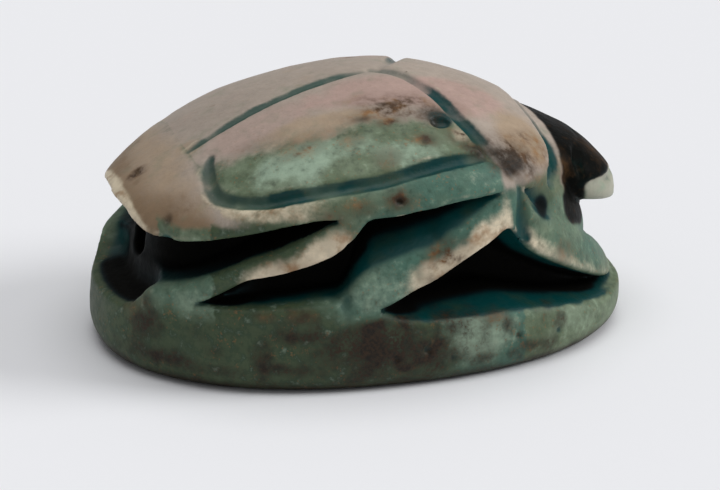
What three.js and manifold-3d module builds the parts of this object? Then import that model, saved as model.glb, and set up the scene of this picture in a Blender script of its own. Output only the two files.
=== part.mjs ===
// Scarab amulet: one carved and glazed piece, a beetle lying on its oval plinth.
// Millimetres, +Z up, head towards +X, origin in the middle of the flat underside.
import * as THREE from 'three';
import { mergeVertices } from 'three/addons/utils/BufferGeometryUtils.js';
import Module from 'manifold-3d';

const wasm = await Module();
wasm.setup();

// ---------------------------------------------------------------- driving dimensions
const PLINTH = {
  halfLength: 9.28,      // along X
  halfWidth: 6.78,       // along Y
  power: 2.2,            // 2 is an ellipse, more is squarer
  footInset: 0.62,       // how far the worn bottom edge rolls in
  footHeight: 0.85,      // how high that roll reaches
  bulgeHeight: 1.25,     // the wall is widest here
  lipInset: 0.16,        // the wall leans in this much at its top edge
};
const LIP = [            // height of the plinth's top edge along X
  [-9.3, 2.75], [-8.2, 2.8], [-6.7, 2.85], [-5.0, 2.9], [-3.6, 3.05], [-2.4, 3.05], [-1.9, 2.7],
  [0.4, 2.3], [2.8, 2.2], [4.3, 2.1], [5.9, 1.8], [7.3, 1.53], [8.2, 1.35], [9.3, 1.2],
];
const SHELL = {
  rear: -8.76, front: 6.98, widest: 0.3,  // plan outline along X
  halfWidth: 6.3, powerX: 2.3, powerY: 2.5,
  crownX: 0.74, crownZ: 8.94,             // highest point of the back
  rearDrop: 0.061, rearPower: 1.8,        // fall of the back towards the tail
  frontDrop: 0.067, frontPower: 1.905,    // fall of the back towards the head
};
const EDGE = [           // lower edge of the wing cases and collar, along X
  [-8.76, 4.9], [-7.6, 4.92], [-6.0, 5.3], [-4.9, 5.6], [-3.8, 5.84], [-1.0, 5.9], [1.0, 6.08],
  [3.2, 6.18], [4.75, 6.12], [5.9, 5.8], [6.98, 5.4],
];
const ROOF = [           // cross-section powers of the back: [x, power of y, power of z]
  [-8, 2.06, 2.1], [-3, 2.0, 2.02], [1, 1.93, 1.65], [6, 1.97, 1.75],
];
const HEAD = {
  // [x, half width, underside z, top z]
  stations: [
    [5.2, 2.9, 4.4, 6.85], [6.2, 3.1, 4.2, 6.85], [6.9, 3.05, 4.05, 6.62], [7.5, 2.9, 3.95, 6.3],
    [8.1, 2.6, 3.9, 5.97], [8.6, 2.15, 3.9, 5.5], [8.95, 1.65, 3.95, 5.1], [9.13, 1.2, 4.15, 4.85],
  ],
  power: 2.6,
};
const NECK = { centreX: 3.9, reach: 3.95, halfWidth: 5.0, power: 2.2 };   // block left standing under the head, in plan
const GROOVE = { width: 0.3, depth: 0.2 };
const HOLE = { diameter: 1.3, rearZ: 3.9, frontZ: 3.3 };     // string hole, end to end
const AROUND = 96;       // steps round the outline

// ---------------------------------------------------------------- helpers
const TAU = Math.PI * 2;
const clamp = (v, a, b) => Math.min(b, Math.max(a, v));
const lerp = (a, b, t) => a + (b - a) * t;
function along(table, x, k = 1) {          // piecewise straight table look-up
  if (x <= table[0][0]) return table[0][k];
  for (let i = 1; i < table.length; i++) {
    if (x <= table[i][0]) {
      const t = (x - table[i - 1][0]) / (table[i][0] - table[i - 1][0]);
      return lerp(table[i - 1][k], table[i][k], t);
    }
  }
  return table[table.length - 1][k];
}
const spow = (v, p) => Math.sign(v) * Math.abs(v) ** p;

// A closed mesh from a position list and triangle list, as a solid for joining and cutting.
function solid(positions, triangles) {
  let g = new THREE.BufferGeometry();
  g.setAttribute('position', new THREE.Float32BufferAttribute(positions.flat(), 3));
  g.setIndex(triangles.flat());
  g = mergeVertices(g, 1e-5);
  const idx = [];
  const raw = g.index.array;
  for (let i = 0; i < raw.length; i += 3) {
    const [a, b, c] = [raw[i], raw[i + 1], raw[i + 2]];
    if (a !== b && b !== c && a !== c) idx.push(a, b, c);
  }
  let m = new wasm.Manifold(new wasm.Mesh({
    numProp: 3,
    vertProperties: new Float32Array(g.attributes.position.array),
    triVerts: new Uint32Array(idx),
  }));
  return m;
}

// The same, turned outside in where the triangles face the wrong way.
function outward(positions, triangles) {
  const m = solid(positions, triangles);
  return m.volume() > 0 ? m : solid(positions, triangles.map(([a, b, c]) => [a, c, b]));
}

// Rings of equal length joined into a closed body; both ends are capped from their middle.
function loft(rings) {
  const n = rings[0].length;
  const pos = [];
  const tri = [];
  rings.forEach((r) => r.forEach((p) => pos.push(p)));
  for (let k = 0; k + 1 < rings.length; k++) {
    for (let i = 0; i < n; i++) {
      const j = (i + 1) % n;
      const a = k * n + i, b = k * n + j, c = a + n, d = b + n;
      tri.push([a, b, d], [a, d, c]);
    }
  }
  const cap = (r, flip) => {
    const base = pos.length;
    const mid = [0, 1, 2].map((q) => r.reduce((s, p) => s + p[q], 0) / n);
    pos.push(mid);
    const off = flip ? 0 : (rings.length - 1) * n;
    for (let i = 0; i < n; i++) {
      const j = (i + 1) % n;
      tri.push(flip ? [base, off + j, off + i] : [base, off + i, off + j]);
    }
  };
  cap(rings[0], true);
  cap(rings[rings.length - 1], false);
  return solid(pos, tri);
}

// ---------------------------------------------------------------- outlines and the back
const lip = (x) => along(LIP, x);
const edge = (x) => along(EDGE, x);
const crown = (x) => (x < SHELL.crownX
  ? SHELL.crownZ - SHELL.rearDrop * Math.abs(SHELL.crownX - x) ** SHELL.rearPower
  : SHELL.crownZ - SHELL.frontDrop * Math.abs(x - SHELL.crownX) ** SHELL.frontPower);
function shellHalf(x) {
  const u = clamp(x < SHELL.widest ? (SHELL.widest - x) / (SHELL.widest - SHELL.rear)
    : (x - SHELL.widest) / (SHELL.front - SHELL.widest), 0, 1);
  return SHELL.halfWidth * (1 - u ** SHELL.powerX) ** (1 / SHELL.powerY);
}
function back(x, y) {    // height of the back at a point in plan
  const w = Math.max(shellHalf(x), 1e-3);
  const m = along(ROOF, x, 1), n = along(ROOF, x, 2);
  const t = clamp(Math.abs(y) / w, 0, 1);
  const e = edge(x);
  return e + (crown(x) - e) * (1 - t ** m) ** (1 / n);
}
function plinthAt(t, inset = 0) {
  return [
    (PLINTH.halfLength - inset) * spow(Math.cos(t), 2 / PLINTH.power),
    (PLINTH.halfWidth - inset) * spow(Math.sin(t), 2 / PLINTH.power),
  ];
}
function shellAt(t, share = 1) {
  const c = Math.cos(t), s = Math.sin(t);
  const reach = c > 0 ? SHELL.front - SHELL.widest : SHELL.widest - SHELL.rear;
  return [SHELL.widest + share * reach * spow(c, 2 / SHELL.powerX),
    share * SHELL.halfWidth * spow(s, 2 / SHELL.powerY)];
}
// The flank between the plinth's lip (f = 0) and the lower edge of the shell (f = 1).
function flank(t, f, share = 1) {
  const [px, py] = plinthAt(t, PLINTH.lipInset);
  const [sx, sy] = shellAt(t);
  const x = lerp(px, sx, f), y = lerp(py, sy, f);
  return [x * share, y * share, lerp(lip(px), edge(sx), f)];
}

// ---------------------------------------------------------------- body
function buildBody() {
  const ts = Array.from({ length: AROUND }, (_, i) => (i / AROUND) * TAU);
  const rings = [];
  const low = (inset, z) => rings.push(ts.map((t) => [...plinthAt(t, inset), z]));
  for (const q of [0, 0.33, 0.66, 1]) {      // worn, rolled bottom edge
    const a = (q * Math.PI) / 2;
    low(PLINTH.footInset * (1 - Math.sin(a)), PLINTH.footHeight * (1 - Math.cos(a)));
  }
  rings.push(ts.map((t) => {                  // widest line of the wall
    const [x, y] = plinthAt(t);
    return [x, y, Math.min(PLINTH.bulgeHeight, lip(x) - 0.12)];
  }));
  for (const f of [0, 0.34, 0.67, 1]) rings.push(ts.map((t) => flank(t, f)));
  for (const share of [0.992, 0.972, 0.94, 0.895, 0.83, 0.75, 0.65, 0.52, 0.37, 0.2]) {
    rings.push(ts.map((t) => {
      const [x, y] = shellAt(t, share);
      return [x, y, back(x, y)];
    }));
  }
  return loft(rings);
}

function buildHead() {
  const n = 22;
  return loft(HEAD.stations.map(([x, w, z0, z1]) => Array.from({ length: n }, (_, i) => {
    const t = (i / n) * TAU;
    return [x, w * spow(Math.cos(t), 2 / HEAD.power),
      (z0 + z1) / 2 + ((z1 - z0) / 2) * spow(Math.sin(t), 2 / HEAD.power)];
  })));
}

// ---------------------------------------------------------------- undercuts
// A gap is a band cut into the flank. Its table runs along X on the plinth outline as
// [x, lower z, upper z, share], the share being how far in towards the middle it reaches.
// A table without a share is cut back as far as the neck block.
const angleAt = (x) => Math.acos(clamp(spow(clamp(x / PLINTH.halfLength, -1, 1), PLINTH.power / 2), -1, 1));
function neckShare(px, py) {
  let a = 0.5, b = 1.05;
  for (let i = 0; i < 24; i++) {
    const m = (a + b) / 2;
    const inside = (Math.abs(px * m - NECK.centreX) / NECK.reach) ** NECK.power
      + (Math.abs(py * m) / NECK.halfWidth) ** NECK.power < 1;
    if (inside) a = m; else b = m;
  }
  return a;
}
function band(table, t0, t1, turn) {
  const steps = Math.max(8, Math.ceil(Math.abs(t1 - t0) / turn));
  const pos = [], tri = [];
  for (let i = 0; i <= steps; i++) {
    const [px, py] = plinthAt(lerp(t0, t1, i / steps));
    const z0 = along(table, px, 1), z1 = Math.max(z0 + 0.02, along(table, px, 2));
    const share = table[0].length > 3 ? along(table, px, 3) : neckShare(px, py);
    for (const [s, z] of [[1.12, z0 - 0.03], [1.12, z1 + 0.03], [share, z1 - 0.1], [share, z0 + 0.06]]) {
      pos.push([px * s, py * s, z]);
    }
  }
  for (let i = 0; i < steps; i++) {
    for (let k = 0; k < 4; k++) {
      const a = i * 4 + k, b = i * 4 + ((k + 1) % 4), c = a + 4, d = b + 4;
      tri.push([a, b, d], [a, d, c]);
    }
  }
  const e = steps * 4;
  tri.push([0, 2, 1], [0, 3, 2], [e, e + 1, e + 2], [e, e + 2, e + 3]);
  return outward(pos, tri);
}
const first = (table) => table[0][0], last = (table) => table[table.length - 1][0];
// on both flanks, apart
const flanks = (table, turn = 0.06) => [1, -1].map((s) => band(table, s * angleAt(first(table)), s * angleAt(last(table)), turn));
// from one flank to the other round the tail, and round the head
const roundTail = (table, turn = 0.07) => [band(table, angleAt(last(table)), TAU - angleAt(last(table)), turn)];
const roundHead = (table, turn = 0.07) => [band(table, angleAt(first(table)), -angleAt(first(table)), turn)];
const GAPS = [
  // under the wing cases, above the hind legs
  ...roundTail([[-9.28, 3.2, 5.4, 0.855], [-9.0, 3.2, 5.2, 0.85], [-8.6, 3.1, 4.9, 0.83], [-7.6, 3.38, 4.95, 0.79],
    [-6.9, 3.72, 5.1, 0.77], [-5.6, 4.42, 5.4, 0.76], [-4.9, 4.7, 5.6, 0.78], [-4.1, 5.05, 5.78, 0.81],
    [-3.2, 5.5, 5.9, 0.86], [-2.5, 5.82, 5.92, 0.9]]),
  // between the tips of the hind legs
  ...roundTail([[-9.28, 2.25, 3.6, 0.86], [-8.95, 2.3, 3.6, 0.86], [-8.7, 2.45, 3.5, 0.87]]),
  // below the hind leg
  ...flanks([[-6.9, 2.86, 3.0, 0.86], [-6.3, 2.86, 3.42, 0.82], [-5.6, 2.88, 3.84, 0.79], [-4.4, 2.98, 4.12, 0.78],
    [-3.5, 3.05, 4.4, 0.78], [-2.66, 3.06, 4.75, 0.78], [-2.05, 3.3, 5.1, 0.79], [-1.75, 3.8, 5.25, 0.8], [-1.4, 4.2, 5.35, 0.82]]),
  // between the wing case and the middle leg
  ...flanks([[-1.9, 3.9, 5.15, 0.8], [-1.45, 4.08, 5.9, 0.8], [0, 4.5, 5.9, 0.8], [0.7, 4.77, 6.05, 0.8],
    [1.7, 5.12, 6.14, 0.81], [2.4, 5.5, 6.18, 0.83], [2.95, 5.78, 6.18, 0.86], [3.35, 5.98, 6.18, 0.9]]),
  // below the middle and the front leg
  ...flanks([[-0.8, 2.6, 2.95, 0.92], [0.1, 2.3, 3.27, 0.84], [1.1, 2.24, 3.64, 0.79], [2.1, 2.2, 4.12, 0.76],
    [3.0, 2.15, 4.5, 0.74], [4.05, 2.12, 4.9, 0.74], [4.6, 2.05, 4.3, 0.74], [5.2, 1.95, 3.73, 0.75],
    [6.5, 1.7, 2.96, 0.79], [8.1, 1.4, 1.95, 0.86], [8.75, 1.3, 1.6, 0.92]]),
  // above the front legs, beside and below the head
  ...roundHead([[5.3, 5.62, 5.9], [5.55, 5.34, 6.0], [6.2, 4.95, 6.15], [6.7, 4.7, 6.5], [7.2, 4.42, 7.6], [8.0, 3.72, 7.8],
    [8.45, 3.36, 7.8], [8.87, 2.92, 7.8], [9.1, 2.25, 7.8], [9.28, 1.85, 7.8]]),
];

// ---------------------------------------------------------------- incised lines
function normalAt(x, y) {
  const h = 0.03;
  const v = new THREE.Vector3(back(x - h, y) - back(x + h, y), back(x, y - h) - back(x, y + h), 2 * h);
  return v.normalize();
}
// A V-shaped cutter that follows a line drawn on the back, in plan points.
function incise(points, width = GROOVE.width, depth = GROOVE.depth, steps = 26) {
  const line = new THREE.CatmullRomCurve3(points.map(([x, y]) => new THREE.Vector3(x, y, 0)), false, 'centripetal');
  const on = line.getSpacedPoints(steps).map((p) => new THREE.Vector3(p.x, p.y, back(p.x, p.y)));
  const lift = 0.15;
  const pos = [], tri = [];
  on.forEach((p, i) => {
    const t = on[Math.min(i + 1, steps)].clone().sub(on[Math.max(i - 1, 0)]).normalize();
    const n = normalAt(p.x, p.y);
    const b = new THREE.Vector3().crossVectors(t, n).normalize();
    const half = (width / 2) * (1 + lift / depth);
    const fade = i === 0 || i === steps ? 0.1 : 1;
    for (const [u, v] of [[half, lift], [-half, lift], [0, -depth * fade]]) {
      const q = p.clone().addScaledVector(b, u).addScaledVector(n, v);
      pos.push([q.x, q.y, q.z]);
    }
  });
  for (let i = 0; i < steps; i++) {
    for (let k = 0; k < 3; k++) {
      const a = i * 3 + k, b = i * 3 + ((k + 1) % 3), c = a + 3, d = b + 3;
      tri.push([a, b, d], [a, d, c]);
    }
  }
  const e = steps * 3;
  tri.push([0, 2, 1], [e, e + 1, e + 2]);
  return outward(pos, tri);
}
const SEAM = [[0.75, 0.35], [-1.6, 0.0], [-3.8, -0.3], [-6.1, -0.7]];       // where the wing cases meet
const COLLAR = [[0.75, 0.35], [1.45, -0.1], [2.06, -1.37], [2.5, -3.0], [3.1, -4.5], [3.5, -5.0]];
const COLLAR_FAR = [[0.75, 0.35], [1.35, 1.0], [1.9, 2.0], [2.5, 3.5], [3.1, 4.6], [3.5, 5.0]];
const RIM = [[-5.6, -1.95], [-5.98, -3.0], [-5.97, -3.8], [-5.4, -4.68], [-4.4, -5.25], [-2.5, -5.63],
  [-1.0, -5.72], [0.6, -5.55], [2.0, -5.32], [3.35, -5.0]];
const mirror = (pts) => pts.map(([x, y]) => [x, -y]);

// A plain drill: a many-sided rod between two points.
function rod(from, to, diameter, sides = 14) {
  const a = new THREE.Vector3(...from), b = new THREE.Vector3(...to);
  const axis = b.clone().sub(a).normalize();
  const u = new THREE.Vector3(0, 1, 0), v = new THREE.Vector3().crossVectors(axis, u).normalize();
  const ring = (c) => Array.from({ length: sides }, (_, i) => {
    const t = (i / sides) * TAU;
    const p = c.clone().addScaledVector(u, (Math.cos(t) * diameter) / 2).addScaledVector(v, (Math.sin(t) * diameter) / 2);
    return [p.x, p.y, p.z];
  });
  let m = loft([ring(a), ring(b)]);
  if (m.volume() < 0) m = loft([ring(b), ring(a)]);
  return m;
}

// ---------------------------------------------------------------- assembly
let body = buildBody();
for (const g of GAPS) body = body.subtract(g);
body = body.add(buildHead());
const cutters = [
  incise(SEAM, GROOVE.width, GROOVE.depth, 9), incise(COLLAR, GROOVE.width, GROOVE.depth, 10),
  incise(COLLAR_FAR, GROOVE.width, GROOVE.depth, 10),
  incise(RIM, GROOVE.width, GROOVE.depth, 20), incise(mirror(RIM), GROOVE.width, GROOVE.depth, 20),
];
for (const c of cutters) body = body.subtract(c);
body = body.subtract(rod([-11, 0, HOLE.rearZ], [11, 0, HOLE.frontZ], HOLE.diameter));
if (body.decompose().length > 1) body = body.decompose().sort((p, q) => q.volume() - p.volume())[0];

const out = body.getMesh();
const geometry = new THREE.BufferGeometry();
geometry.setAttribute('position', new THREE.BufferAttribute(new Float32Array(out.vertProperties), 3));
geometry.setIndex(new THREE.BufferAttribute(new Uint32Array(out.triVerts), 1));
geometry.computeVertexNormals();

const glaze = new THREE.MeshStandardMaterial({ color: 0x6f8a72, roughness: 0.5, metalness: 0 });
const scarab = new THREE.Mesh(geometry, glaze);
scarab.name = 'scarab';

const group = new THREE.Group();
group.add(scarab);
export default group;
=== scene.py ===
import math
import bpy, bmesh
import numpy as np
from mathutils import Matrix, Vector


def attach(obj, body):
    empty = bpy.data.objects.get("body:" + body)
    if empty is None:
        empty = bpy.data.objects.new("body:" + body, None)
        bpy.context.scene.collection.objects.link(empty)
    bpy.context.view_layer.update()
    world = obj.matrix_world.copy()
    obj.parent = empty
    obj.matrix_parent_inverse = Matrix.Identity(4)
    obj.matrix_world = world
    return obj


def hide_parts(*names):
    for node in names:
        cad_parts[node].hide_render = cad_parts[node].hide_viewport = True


# A glazed stone scarab amulet. Lengths are in millimetres until the mesh is made; +X is the head, the amulet rests on its underside at Z = 0.

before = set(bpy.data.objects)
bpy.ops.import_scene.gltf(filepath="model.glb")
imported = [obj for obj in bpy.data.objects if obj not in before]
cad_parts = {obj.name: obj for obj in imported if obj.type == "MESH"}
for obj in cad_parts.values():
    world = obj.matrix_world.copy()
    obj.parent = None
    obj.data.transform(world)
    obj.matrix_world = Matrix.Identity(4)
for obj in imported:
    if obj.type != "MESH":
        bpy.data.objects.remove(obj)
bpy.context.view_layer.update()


F = np.float32

# ------------------------------------------------------------------ named sizes, mm
PL_A, PL_B, PL_P = 9.28, 6.78, 2.2          # plinth outline
FOOT_IN, FOOT_H = 0.62, 0.85                # worn bottom edge
LIP_IN, BULGE = 0.16, 1.25
LIP = [(-9.3, 2.75), (-8.2, 2.8), (-6.7, 2.85), (-5.0, 2.9), (-3.6, 3.05), (-2.4, 3.05), (-1.9, 2.7),
       (0.4, 2.3), (2.8, 2.2), (4.3, 2.1), (5.9, 1.8), (7.3, 1.53), (8.2, 1.35), (9.3, 1.2)]
SH_REAR, SH_FRONT, SH_MID, SH_B = -8.76, 6.98, 0.3, 6.3
CR_X, CR_Z, CR_RD, CR_RP, CR_FD, CR_FP = 0.74, 8.94, 0.061, 1.8, 0.067, 1.905
EDGE = [(-8.76, 4.9), (-7.6, 4.92), (-6.0, 5.3), (-4.9, 5.6), (-3.8, 5.84), (-1.0, 5.9), (1.0, 6.08),
        (3.2, 6.18), (4.75, 6.12), (5.9, 5.8), (6.98, 5.4)]
ROOF_X = [-8, -3, 1, 6]; ROOF_M = [2.06, 2.0, 1.93, 1.97]; ROOF_N = [2.1, 2.02, 1.65, 1.75]

def tab(x, t, k=1):
    return np.interp(x, [r[0] for r in t], [r[k] for r in t]).astype(F)

def tabs(x, t, k=1, w=0.35):
    """smoothed table look-up"""
    return (tab(x - w, t, k) + 2 * tab(x, t, k) + tab(x + w, t, k)) * F(0.25)

def sstep(a, b, x):
    t = np.clip((x - a) / (b - a), 0, 1)
    return t * t * (3 - 2 * t)

def smin(a, b, k):
    h = np.clip(0.5 + 0.5 * (b - a) / k, 0, 1)
    return b + (a - b) * h - k * h * (1 - h)

def smax(a, b, k):
    return -smin(-a, -b, k)

# ------------------------------------------------------------------ noise
def _h(ix, iy, iz, seed):
    h = (ix.astype(np.uint32) * np.uint32(374761393) + iy.astype(np.uint32) * np.uint32(668265263)
         + iz.astype(np.uint32) * np.uint32(2147483647) + np.uint32((seed * 1274126177) & 0xffffffff))
    h = (h ^ (h >> np.uint32(13))) * np.uint32(1274126177)
    h = (h ^ (h >> np.uint32(15))) * np.uint32(2246822519)
    h ^= h >> np.uint32(14)
    return h.astype(F) * F(1 / 4294967296.0)

def vnoise(x, y, z, scale, seed=0):
    """value noise, -1..1, feature size `scale` mm"""
    s = F(1.0 / scale)
    X, Y, Z = x * s + 100.5, y * s + 100.5, z * s + 100.5
    ix, iy, iz = np.floor(X), np.floor(Y), np.floor(Z)
    fx, fy, fz = X - ix, Y - iy, Z - iz
    fx = fx * fx * fx * (fx * (fx * 6 - 15) + 10); fy = fy * fy * fy * (fy * (fy * 6 - 15) + 10); fz = fz * fz * fz * (fz * (fz * 6 - 15) + 10)
    ix, iy, iz = ix.astype(np.int64), iy.astype(np.int64), iz.astype(np.int64)
    r = 0
    c = [[[None] * 2 for _ in range(2)] for _ in range(2)]
    for a in (0, 1):
        for b in (0, 1):
            for d in (0, 1):
                c[a][b][d] = _h(ix + a, iy + b, iz + d, seed)
    l = lambda p, q, t: p + (q - p) * t
    r = l(l(l(c[0][0][0], c[1][0][0], fx), l(c[0][1][0], c[1][1][0], fx), fy),
          l(l(c[0][0][1], c[1][0][1], fx), l(c[0][1][1], c[1][1][1], fx), fy), fz)
    return (r * 2 - 1).astype(F)

def fbm(x, y, z, scale, seed=0, octaves=3, gain=0.5):
    t, a, n = 0, 1.0, 0.0
    for o in range(octaves):
        t = t + a * vnoise(x, y, z, scale / 2 ** o, seed + 17 * o)
        n += a; a *= gain
    return t / n

# ------------------------------------------------------------------ form
def superdist(x, y, cx, ar, af, b, p, q):
    u = np.abs(x - cx) / np.where(x > cx, af, ar)
    v = np.abs(y) / b
    a = np.where(x > cx, af, ar)
    up, vq = u ** (p - 1), v ** (q - 1)
    g = up * u + vq * v + 1e-9
    r = 0.5 * (p + q)
    s = g ** (1 / r)
    k = s / (r * g)
    gx, gy = k * p * up / a, k * q * vq / b
    return ((s - 1) / np.sqrt(gx * gx + gy * gy + 1e-8)).astype(F)

def shell_half(x):
    u = np.where(x < SH_MID, (SH_MID - x) / (SH_MID - SH_REAR), (x - SH_MID) / (SH_FRONT - SH_MID))
    u = np.clip(u, 0, 1)
    return (SH_B * (1 - u ** 2.3) ** (1 / 2.5)).astype(F)

def crown(x):
    return np.where(x < CR_X, CR_Z - CR_RD * np.abs(CR_X - x) ** CR_RP, CR_Z - CR_FD * np.abs(x - CR_X) ** CR_FP).astype(F)

def back(x, y):
    w = np.maximum(shell_half(x), 0.02)
    m = np.interp(x, ROOF_X, ROOF_M).astype(F); n = np.interp(x, ROOF_X, ROOF_N).astype(F)
    t = np.clip(np.abs(y) / w, 0, 1)
    e = tab(x, EDGE)
    return (e + (crown(x) - e) * (1 - t ** m) ** (1 / n)).astype(F)

def table_x(x, y):
    """where a point lies along the plinth outline, as the X of the outline in its direction"""
    u = (np.abs(x) / PL_A) ** (PL_P / 2); v = (np.abs(y) / PL_B) ** (PL_P / 2)
    return (np.sign(x) * PL_A * (u / np.sqrt(u * u + v * v + 1e-12)) ** (2 / PL_P)).astype(F)

def wall(x, y, z):
    lip, edge = tab(x, LIP), tab(x, EDGE)
    f = np.clip((z - lip) / (edge - lip), 0, 1)
    # roll of the bottom edge and the lean of the wall below the lip
    q = np.clip(1 - z / FOOT_H, 0, 1)
    inset = FOOT_IN * (1 - np.sqrt(np.maximum(1 - q * q, 0)))
    inset = inset + LIP_IN * np.clip((z - BULGE) / np.maximum(lip - BULGE, 0.3), 0, 1) * (f <= 0) + LIP_IN * (1 - f) * (f > 0)
    cx = SH_MID * f
    af = PL_A + (SH_FRONT - SH_MID - PL_A) * f
    ar = PL_A + (SH_MID - SH_REAR - PL_A) * f
    b = PL_B + (SH_B - PL_B) * f
    return superdist(x, y, cx, ar - inset, af - inset, b - inset, 2.2 + 0.1 * f, 2.2 + 0.3 * f)

# gaps: [x on the outline, floor z at the outside, ceiling z, reach inward, rise of the floor inward]
GAP_WING = [(-9.28, 3.2, 5.42, 1.25, .25), (-9.0, 3.2, 5.24, 1.3, .25), (-8.6, 3.15, 4.95, 1.5, .25), (-8.1, 3.25, 4.9, 1.8, .3), (-7.6, 3.42, 4.95, 2.0, .35),
            (-6.9, 3.74, 5.08, 2.0, .4), (-5.6, 4.45, 5.4, 1.9, .42), (-4.9, 4.68, 5.6, 1.7, .42), (-4.1, 5.05, 5.78, 1.5, .42),
            (-3.2, 5.54, 5.9, 1.0, .3), (-2.55, 5.86, 5.9, .5, .2)]
GAP_TAIL = [(-9.28, 2.2, 3.7, 1.25, .22), (-8.95, 2.22, 3.7, 1.25, .22), (-8.75, 2.3, 3.6, 1.1, .22), (-8.55, 2.75, 3.3, .8, .3), (-8.4, 3.3, 3.3, .4, .3)]
GAP_HIND = [(-7.05, 2.9, 2.9, .4, .2), (-6.3, 2.86, 3.4, 1.1, .2), (-5.6, 2.88, 3.86, 1.4, .22), (-4.4, 2.98, 4.14, 1.5, .22),
            (-3.5, 3.05, 4.4, 1.5, .22), (-2.66, 3.08, 4.72, 1.5, .25), (-2.2, 3.2, 5.05, 1.5, .5), (-1.9, 3.7, 5.2, 1.5, .8), (-1.5, 4.1, 5.4, 1.4, .85), (-1.2, 4.25, 4.3, 1.0, .9)]
GAP_MID = [(-2.15, 3.65, 5.0, 1.5, .8), (-1.75, 3.75, 5.5, 1.6, .8), (-1.45, 4.0, 5.88, 1.7, .8), (-0.5, 4.25, 5.9, 1.7, .85), (0.4, 4.5, 6.0, 1.7, .85), (1.1, 4.62, 6.06, 1.6, .85),
           (1.6, 4.95, 6.12, 1.5, .85), (2.1, 5.2, 6.16, 1.4, .8), (2.8, 5.55, 6.18, 1.1, .7), (3.3, 5.8, 6.18, .8, .6), (3.75, 6.1, 6.18, .4, .5)]
GAP_FORE = [(-0.95, 2.7, 2.75, .3, .2), (-0.5, 2.5, 2.95, .9, .2), (0.1, 2.33, 3.25, 1.5, .22), (1.1, 2.25, 3.64, 1.9, .26), (2.1, 2.2, 4.12, 2.1, .3),
            (3.0, 2.17, 4.52, 2.2, .32), (3.9, 2.13, 4.95, 2.2, .34), (4.25, 2.12, 4.85, 2.2, .34), (4.6, 2.07, 4.25, 2.1, .34), (5.2, 1.97, 3.74, 2.0, .34), (6.5, 1.7, 2.98, 1.7, .32),
            (8.1, 1.4, 1.98, 1.2, .3), (8.8, 1.3, 1.55, .8, .3), (9.1, 1.4, 1.42, .4, .3)]
GAP_CHEEK = [(5.1, 6.1, 6.1, 0, .1), (5.3, 5.62, 5.9, 0, .1), (5.55, 5.34, 6.0, 0, .1), (6.2, 4.95, 6.15, 0, .1), (6.7, 4.7, 6.5, 0, .1), (7.2, 4.42, 7.6, 0, .1), (8.0, 3.72, 7.8, 0, .1),
             (8.45, 3.36, 7.8, 0, .1), (8.87, 2.92, 7.8, 0, .1), (9.1, 2.25, 7.8, 0, .1), (9.28, 1.85, 7.8, 0, .1)]

def gap(px, z, inw, table, ceil=0.0, k=0.22, w=0.2, reach=None):
    f0, c0 = tabs(px, table, 1, w), tabs(px, table, 2, w)
    d, r = tabs(px, table, 3, w), tabs(px, table, 4, w)
    inn = np.clip(inw, 0, 3)
    floor = f0 + r * inn
    top = c0 + ceil * inn
    dz = np.maximum(floor - z, z - top)
    g = smax(dz, inw - d, k) if reach is None else smax(dz, reach, k)
    lo, hi = table[0][0], table[-1][0]
    if lo > -9.2: g = np.maximum(g, (lo - px))
    if hi < 9.2: g = np.maximum(g, (px - hi))
    return g.astype(F)

# incised lines, in plan on the back
SEAM = [(0.75, 0.35), (-0.4, 0.22), (-1.6, 0.0), (-2.7, -0.2), (-3.8, -0.34), (-4.9, -0.55), (-6.15, -0.8)]
COLLAR = [(0.75, 0.35), (1.35, 0.0), (1.75, -0.65), (2.06, -1.37), (2.36, -2.2), (2.58, -3.2), (2.9, -3.85), (3.2, -4.55), (3.5, -5.0)]
COLLAR_F = [(0.75, 0.35), (1.3, 0.95), (1.85, 1.9), (2.3, 2.9), (2.7, 3.8), (3.1, 4.6), (3.5, 5.05)]
RIM = [(-5.62, -1.95), (-5.84, -2.35), (-5.98, -3.0), (-6.02, -3.5), (-5.94, -4.0), (-5.7, -4.36), (-5.35, -4.7), (-4.88, -5.02), (-4.4, -5.27), (-3.5, -5.51),
       (-2.5, -5.64), (-1.5, -5.71), (-0.5, -5.71), (0.35, -5.58), (1.2, -5.45), (2.2, -5.24), (2.9, -5.08), (3.45, -4.95)]
RIM_F = [(-5.8, 4.15), (-5.4, 4.65), (-4.7, 5.1),
         (-3.6, 5.48), (-2.5, 5.62), (-1.2, 5.7), (0, 5.66), (1.1, 5.5), (2.2, 5.28), (3.45, 4.98)]
NECK = [(5.75, -4.25), (6.0, -3.85), (6.2, -3.15), (6.16, -2.5), (6.02, -1.8), (5.9, -0.8), (5.86, 0), (5.9, 0.8), (6.02, 1.8), (6.16, 2.5), (6.2, 3.15), (6.0, 3.85), (5.75, 4.25)]

def chaikin(pts, n=2):
    P = np.array(pts, float)
    for _ in range(n):
        Q = [P[0]]
        for a, b in zip(P[:-1], P[1:]):
            Q += [0.75 * a + 0.25 * b, 0.25 * a + 0.75 * b]
        Q.append(P[-1]); P = np.array(Q)
    return P

def on_back(pts, n=1, lift=0.0):
    P = chaikin(pts, n)
    z = back(P[:, 0].astype(F), P[:, 1].astype(F))
    return np.column_stack([P[:, 0], P[:, 1], z + lift])

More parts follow.
